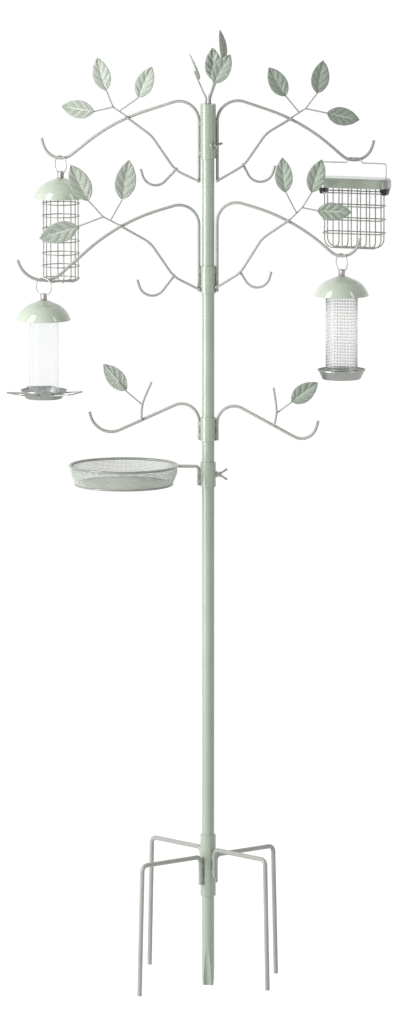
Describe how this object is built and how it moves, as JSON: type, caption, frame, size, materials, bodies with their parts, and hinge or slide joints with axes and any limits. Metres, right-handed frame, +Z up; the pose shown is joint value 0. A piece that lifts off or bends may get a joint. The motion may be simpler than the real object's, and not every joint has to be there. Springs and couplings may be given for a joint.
{
  "type": "bird feeding station",
  "caption": "Garden pole on a spiked four-leg base with leafy hook arms that carry seed, nut, fat-ball and suet feeders and a mesh tray.",
  "frame": {"origin": "on the pole axis at the tip of the ground spike", "axes": "+Z up along the pole, +X to the right and -Y towards the viewer of the picture"},
  "size_m": [0.7573, 0.2738, 1.9209],
  "materials": {
    "sage_paint": "satin sage-grey powder coat",
    "bare_steel": "bright drawn wire",
    "clear_tube": "clear tube",
    "black_clip": "moulded black plastic"
  },
  "bodies": {
    "stand": {"pole_lower_tube": "sage_paint", "pole_middle_tube": "sage_paint", "pole_top_tube": "sage_paint", "lower_leg_collar": "sage_paint", "upper_leg_collar": "sage_paint", "front_left_leg": "sage_paint", "back_right_leg": "sage_paint", "front_right_leg": "sage_paint", "back_left_leg": "sage_paint"},
    "upper_tier": {"upper_sleeve": "sage_paint", "sleeve_cap": "sage_paint", "finial_stems": "sage_paint", "finial_leaves": "sage_paint", "upper_left_arm": "sage_paint", "upper_right_arm": "sage_paint", "upper_left_branch": "sage_paint", "upper_right_branch": "sage_paint", "upper_small_hooks": "sage_paint", "upper_twigs": "sage_paint", "upper_leaves": "sage_paint"},
    "upper_screw": {"upper_wing_screw": "sage_paint"},
    "middle_tier": {"middle_collar": "sage_paint", "middle_left_arm": "sage_paint", "middle_right_arm": "sage_paint", "middle_left_branch": "sage_paint", "middle_right_branch": "sage_paint", "middle_small_hooks": "sage_paint", "middle_twigs": "sage_paint", "middle_leaves": "sage_paint"},
    "middle_screw": {"middle_wing_screw": "sage_paint"},
    "perch_tier": {"perch_collar": "sage_paint", "perch_left_rod": "sage_paint", "perch_right_rod": "sage_paint", "perch_twigs": "sage_paint", "perch_leaves": "sage_paint"},
    "perch_screw": {"perch_wing_screw": "sage_paint"},
    "tray": {"tray_collar": "sage_paint", "tray_arm": "sage_paint", "tray_hoop": "sage_paint", "tray_mesh_bowl": "sage_paint"},
    "tray_screw": {"tray_wing_screw": "sage_paint"},
    "ball_feeder_top": {"ball_feeder_hanger": "bare_steel", "ball_feeder_lid": "sage_paint"},
    "ball_feeder_body": {"ball_feeder_cage": "sage_paint"},
    "seed_feeder_top": {"seed_feeder_hanger": "bare_steel", "seed_feeder_lid": "sage_paint"},
    "seed_feeder_body": {"seed_feeder_tube": "clear_tube", "seed_feeder_dish": "sage_paint", "seed_feeder_perches": "sage_paint"},
    "nut_feeder_top": {"nut_feeder_hanger": "bare_steel", "nut_feeder_lid": "sage_paint"},
    "nut_feeder_body": {"nut_feeder_mesh": "sage_paint", "nut_feeder_dish": "sage_paint"},
    "suet_feeder_frame": {"suet_feeder_handle": "bare_steel", "suet_feeder_loops": "sage_paint", "suet_feeder_bars": "sage_paint", "suet_feeder_long_wires": "sage_paint", "suet_feeder_clips": "black_clip"},
    "suet_feeder_cover": {"suet_feeder_lid": "sage_paint"}
  },
  "joints": [
    {"name": "upper_tier_swivel", "type": "hinge", "parent": "stand", "child": "upper_tier", "pos_m": [0, 0, 1.72], "axis": [0, 0, 1], "range_deg": [-6, 6]},
    {"name": "middle_tier_swivel", "type": "hinge", "parent": "stand", "child": "middle_tier", "pos_m": [0, 0, 1.424], "axis": [0, 0, 1], "range_deg": [-6, 6]},
    {"name": "perch_tier_swivel", "type": "hinge", "parent": "stand", "child": "perch_tier", "pos_m": [0, 0, 1.1245], "axis": [0, 0, 1], "range_deg": [-45, 45]},
    {"name": "tray_swivel", "type": "hinge", "parent": "stand", "child": "tray", "pos_m": [0, 0, 1.0335], "axis": [0, 0, 1], "continuous": true},
    {"name": "upper_screw_turn", "type": "hinge", "parent": "upper_tier", "child": "upper_screw", "pos_m": [0.00773, -0.00989, 1.692], "axis": [0.6157, -0.788, 0], "continuous": true},
    {"name": "middle_screw_turn", "type": "hinge", "parent": "middle_tier", "child": "middle_screw", "pos_m": [0, 0.01255, 1.424], "axis": [0, 1, 0], "continuous": true},
    {"name": "perch_screw_turn", "type": "hinge", "parent": "perch_tier", "child": "perch_screw", "pos_m": [0, 0.01255, 1.1245], "axis": [0, 1, 0], "continuous": true},
    {"name": "tray_screw_turn", "type": "hinge", "parent": "tray", "child": "tray_screw", "pos_m": [0.01255, 0, 1.0335], "axis": [1, 0, 0], "continuous": true},
    {"name": "ball_feeder_swing", "type": "hinge", "parent": "upper_tier", "child": "ball_feeder_top", "pos_m": [-0.29708, 0.04175, 1.6596], "axis": [-0.9903, 0.1392, 0], "range_deg": [-8, 8]},
    {"name": "suet_feeder_swing", "type": "hinge", "parent": "upper_tier", "child": "suet_feeder_frame", "pos_m": [0.28817, 0.0405, 1.6601], "axis": [0.9903, 0.1392, 0], "range_deg": [-8, 8]},
    {"name": "seed_feeder_swing", "type": "hinge", "parent": "middle_tier", "child": "seed_feeder_top", "pos_m": [-0.32302, -0.05696, 1.4261], "axis": [-0.9848, -0.1736, 0], "range_deg": [-8, 8]},
    {"name": "nut_feeder_swing", "type": "hinge", "parent": "middle_tier", "child": "nut_feeder_top", "pos_m": [0.26836, -0.04732, 1.4783], "axis": [0.9848, -0.1736, 0], "range_deg": [-8, 8]},
    {"name": "ball_feeder_twist", "type": "hinge", "parent": "ball_feeder_top", "child": "ball_feeder_body", "pos_m": [-0.29708, 0.04175, 1.581], "axis": [0, 0, 1], "range_deg": [0, 30]},
    {"name": "seed_feeder_twist", "type": "hinge", "parent": "seed_feeder_top", "child": "seed_feeder_body", "pos_m": [-0.32302, -0.05696, 1.3475], "axis": [0, 0, 1], "range_deg": [0, 30]},
    {"name": "nut_feeder_twist", "type": "hinge", "parent": "nut_feeder_top", "child": "nut_feeder_body", "pos_m": [0.26836, -0.04732, 1.3997], "axis": [0, 0, 1], "range_deg": [0, 30]},
    {"name": "suet_lid_slide", "type": "slide", "parent": "suet_feeder_frame", "child": "suet_feeder_cover", "axis": [0, 0, 1], "range_m": [0, 0.024]}
  ]
}
